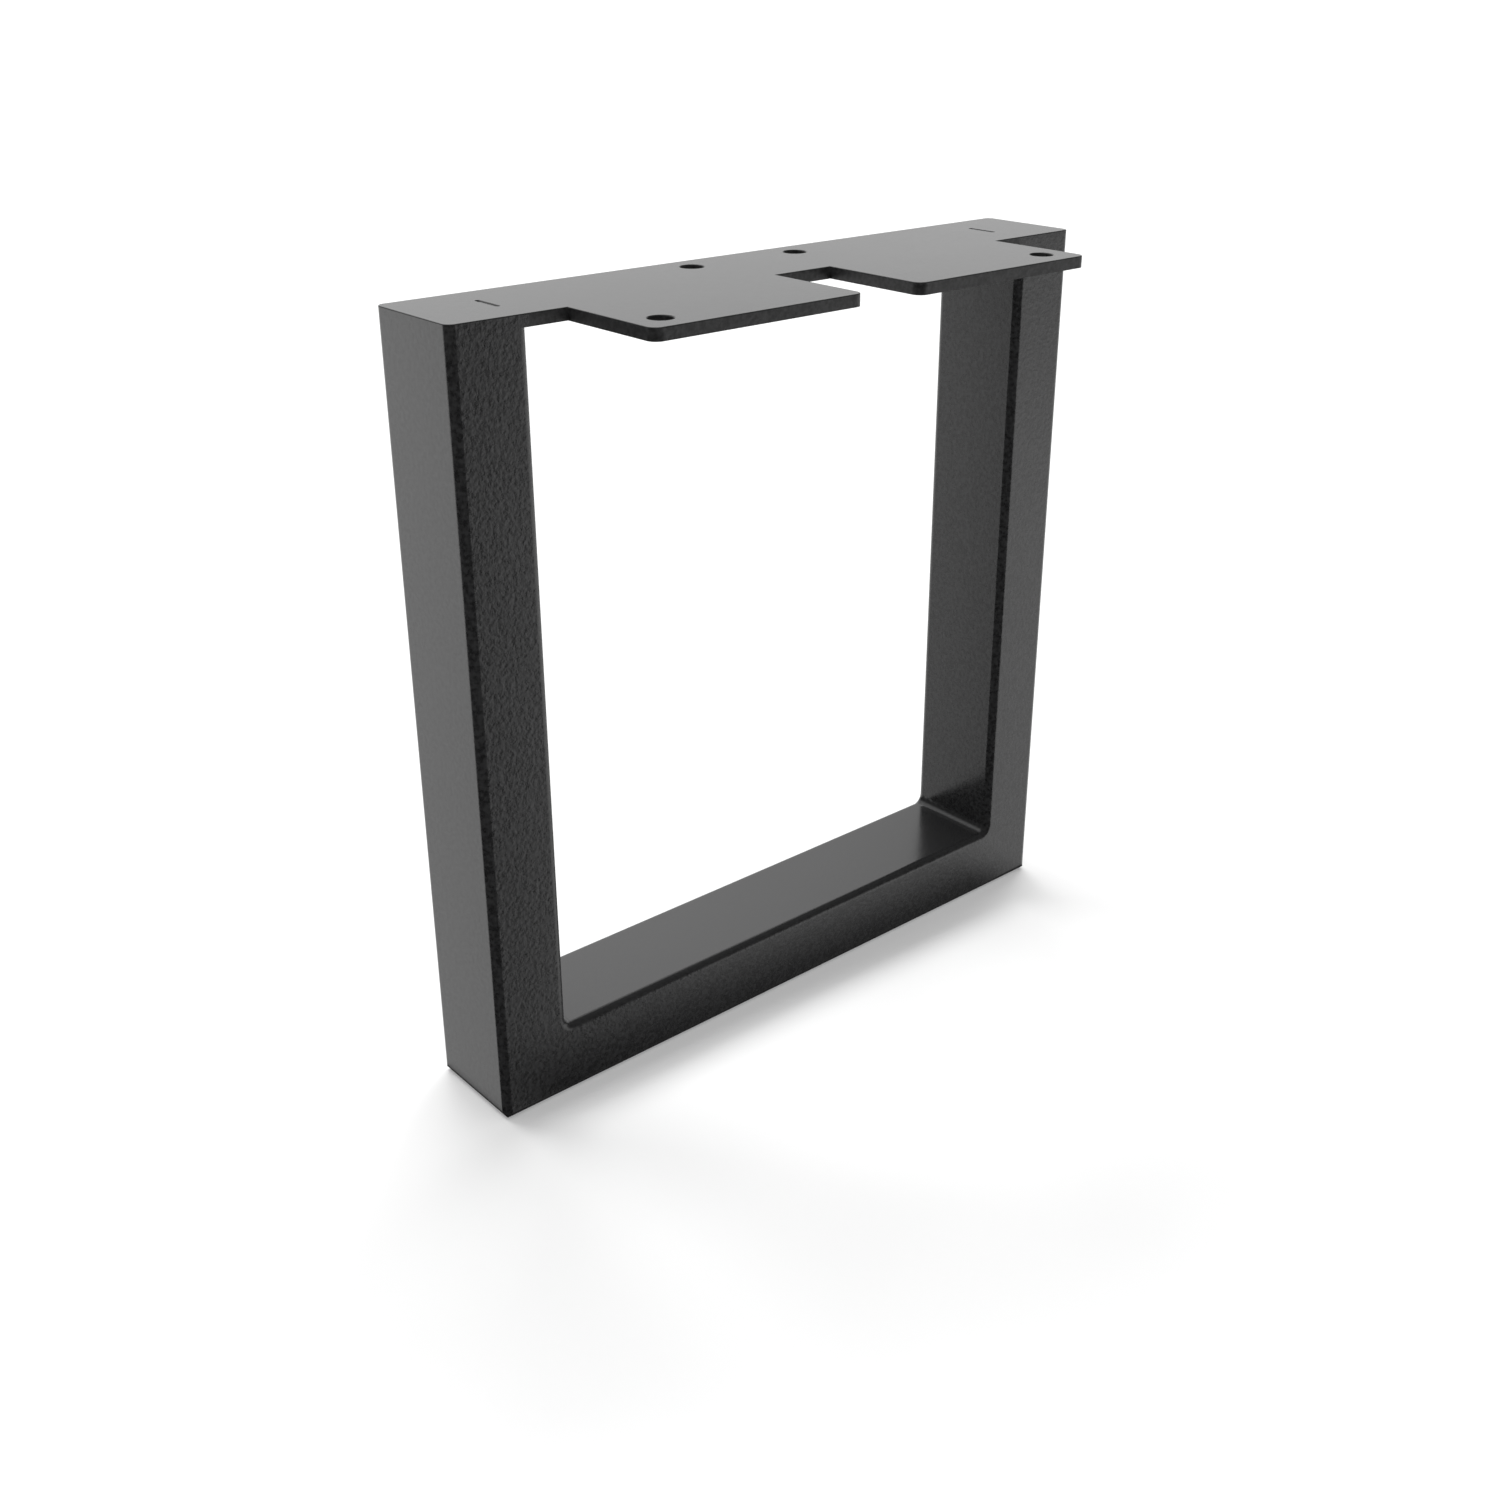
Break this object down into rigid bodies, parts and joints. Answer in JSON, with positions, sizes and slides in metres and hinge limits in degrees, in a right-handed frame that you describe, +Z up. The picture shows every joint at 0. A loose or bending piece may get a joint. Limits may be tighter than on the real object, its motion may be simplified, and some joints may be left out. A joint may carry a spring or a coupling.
{
  "type": "furniture leg",
  "caption": "Open U-frame furniture leg of mitred rectangular steel tube, powder-coated black, with a flat tabbed plate welded across the top for bolting under a table or bench.",
  "frame": {"origin": "on the floor, under the middle of the foot rail and midway through the tube's depth", "axes": "+X along the foot rail, -Y the side to which the plate's tabs reach out, +Z up"},
  "size_m": [0.4, 0.1215, 0.406],
  "materials": {
    "powder_coat": "black fine-texture powder coat, satin to matte, over welded steel"
  },
  "bodies": {
    "root": {"left_upright": "powder_coat", "right_upright": "powder_coat", "foot_rail": "powder_coat", "mounting_plate": "powder_coat", "left_corner_weld": "powder_coat", "right_corner_weld": "powder_coat", "left_plug_weld": "powder_coat", "right_plug_weld": "powder_coat"}
  },
  "joints": []
}
